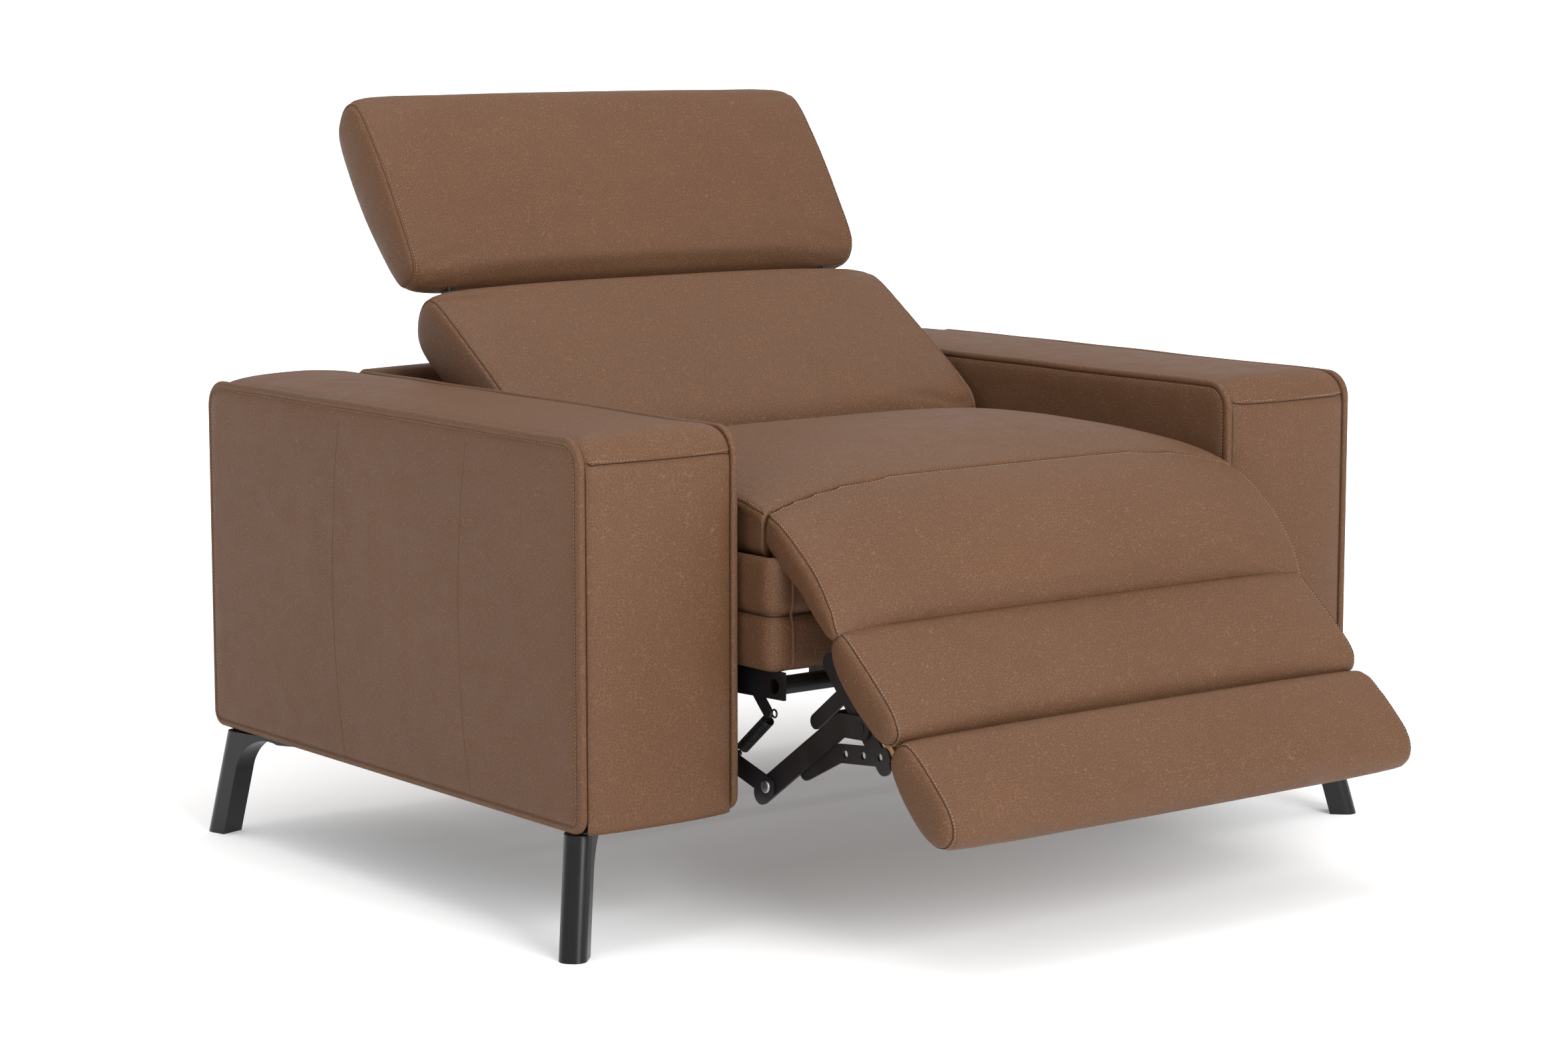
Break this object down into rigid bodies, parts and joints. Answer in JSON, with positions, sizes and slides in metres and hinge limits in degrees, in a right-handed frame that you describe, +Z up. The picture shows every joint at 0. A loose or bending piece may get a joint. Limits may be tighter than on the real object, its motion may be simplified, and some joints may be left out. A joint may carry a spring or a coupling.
{
  "type": "recliner armchair",
  "caption": "Wide leather reclining armchair with block arms, splayed blade legs, folding padded footrest, leaning back and tilting headrest.",
  "frame": {"origin": "on the floor, midway between the arms and under the middle of the open chair's length", "axes": "+X to the right as seen from the front, -Y out of the front of the chair, +Z up"},
  "size_m": [1.4096, 1.3945, 1.0436],
  "materials": {
    "leather": "pebbled semi-aniline leather, soft sheen",
    "timber": "raw beech and birch plywood",
    "black_steel": "black powder coat",
    "satin_black": "smooth satin black lacquer",
    "bright_steel": "zinc plated steel",
    "spring_steel": "oiled spring steel",
    "black_plastic": "fine textured moulding",
    "nylon": "natural nylon",
    "dust_cloth": "black non-woven cloth"
  },
  "bodies": {
    "base": {"arm_dust_cloths": "dust_cloth", "left_arm_band": "leather", "left_arm_frame": "timber", "left_arm_inner_cheek": "leather", "left_arm_outer_cheek": "leather", "left_back_leg": "satin_black", "left_base_rail": "black_steel", "left_front_leg": "satin_black", "leg_plates": "black_steel", "leg_screws": "bright_steel", "rail_bolts": "bright_steel", "rear_beam": "black_steel", "rear_frame": "timber", "rear_panel": "leather", "recline_motor": "black_plastic", "right_arm_band": "leather", "right_arm_frame": "timber", "right_arm_inner_cheek": "leather", "right_arm_outer_cheek": "leather", "right_back_leg": "satin_black", "right_base_rail": "black_steel", "right_front_leg": "satin_black", "switch_bezel": "black_plastic"},
    "seat_carriage": {"seat_frame": "timber", "seat_springs": "spring_steel", "seat_box_left_panel": "leather", "seat_box_right_panel": "leather", "seat_box_front_panel": "leather", "seat_cushion": "leather", "left_side_plate": "black_steel", "right_side_plate": "black_steel", "glide_blocks": "nylon", "cross_tubes": "black_steel", "footrest_springs": "spring_steel", "recline_rod": "bright_steel", "footrest_motor": "black_plastic", "back_carriers": "black_steel", "footrest_hinge_ears": "black_steel"},
    "footrest": {"footrest_upper_board": "timber", "footrest_middle_board": "timber", "footrest_lower_board": "timber", "footrest_upper_pad": "leather", "footrest_middle_pad": "leather", "footrest_lower_pad": "leather", "footrest_arms": "black_steel", "footrest_hinge_straps": "black_steel", "footrest_hinge_pins": "bright_steel"},
    "drive_crank": {"drive_crank": "black_steel"},
    "push_links": {"push_links": "black_steel"},
    "footrest_rod": {"footrest_rod": "bright_steel"},
    "recline_links": {"recline_links": "black_steel"},
    "backrest": {"backrest_frame": "timber", "backrest_pad": "leather", "back_brackets": "black_steel", "headrest_carriers": "black_steel"},
    "headrest": {"headrest_frame": "timber", "headrest_pad": "leather", "headrest_arms": "black_steel"},
    "footrest_button": {"footrest_button": "black_plastic"},
    "recline_button": {"recline_button": "black_plastic"}
  },
  "joints": [
    {"name": "seat_glide", "type": "slide", "parent": "base", "child": "seat_carriage", "axis": [0, -1, 0], "range_m": [-0.125, 0.015]},
    {"name": "backrest_hinge", "type": "hinge", "parent": "seat_carriage", "child": "backrest", "pos_m": [0, 0.212, 0.545], "axis": [-1, 0, 0], "range_deg": [-38.2, 4.8]},
    {"name": "recline_link_hinge", "type": "hinge", "parent": "base", "child": "recline_links", "pos_m": [0, 0.137, 0.19], "axis": [1, 0, 0], "range_deg": [-21, 3]},
    {"name": "headrest_hinge", "type": "hinge", "parent": "backrest", "child": "headrest", "pos_m": [0, 0.5, 0.762], "axis": [-1, 0, 0], "range_deg": [-12, 50]},
    {"name": "footrest_hinge", "type": "hinge", "parent": "seat_carriage", "child": "footrest", "pos_m": [0, -0.38, 0.44], "axis": [-1, 0, 0], "range_deg": [-39, 40]},
    {"name": "drive_crank_hinge", "type": "hinge", "parent": "seat_carriage", "child": "drive_crank", "pos_m": [0, -0.195, 0.336], "axis": [-1, 0, 0], "range_deg": [-39.2, 40.2], "deforming": ["footrest_springs"]},
    {"name": "push_link_hinge", "type": "hinge", "parent": "footrest", "child": "push_links", "pos_m": [0, -0.512, 0.29], "axis": [-1, 0, 0], "range_deg": [-40.2, 39.2]},
    {"name": "footrest_rod_slide", "type": "slide", "parent": "seat_carriage", "child": "footrest_rod", "axis": [0, -1, 0], "range_m": [-0.02834, 0.02906]},
    {"name": "footrest_button_press", "type": "slide", "parent": "base", "child": "footrest_button", "axis": [-1, 0, 0], "range_m": [0, 0.0015], "stiffness_N_per_m": 900, "springref_m": -0.001},
    {"name": "recline_button_press", "type": "slide", "parent": "base", "child": "recline_button", "axis": [-1, 0, 0], "range_m": [0, 0.0015], "stiffness_N_per_m": 900, "springref_m": -0.001}
  ],
  "couplings": [
    {"joint": "backrest_hinge", "follows": "seat_glide", "rad_per_m": 5.3058},
    {"joint": "recline_link_hinge", "follows": "seat_glide", "rad_per_m": 2.84},
    {"joint": "drive_crank_hinge", "follows": "footrest_hinge", "ratio": 1},
    {"joint": "push_link_hinge", "follows": "footrest_hinge", "ratio": -1},
    {"joint": "footrest_rod_slide", "follows": "footrest_hinge", "m_per_rad": 0.0412}
  ]
}
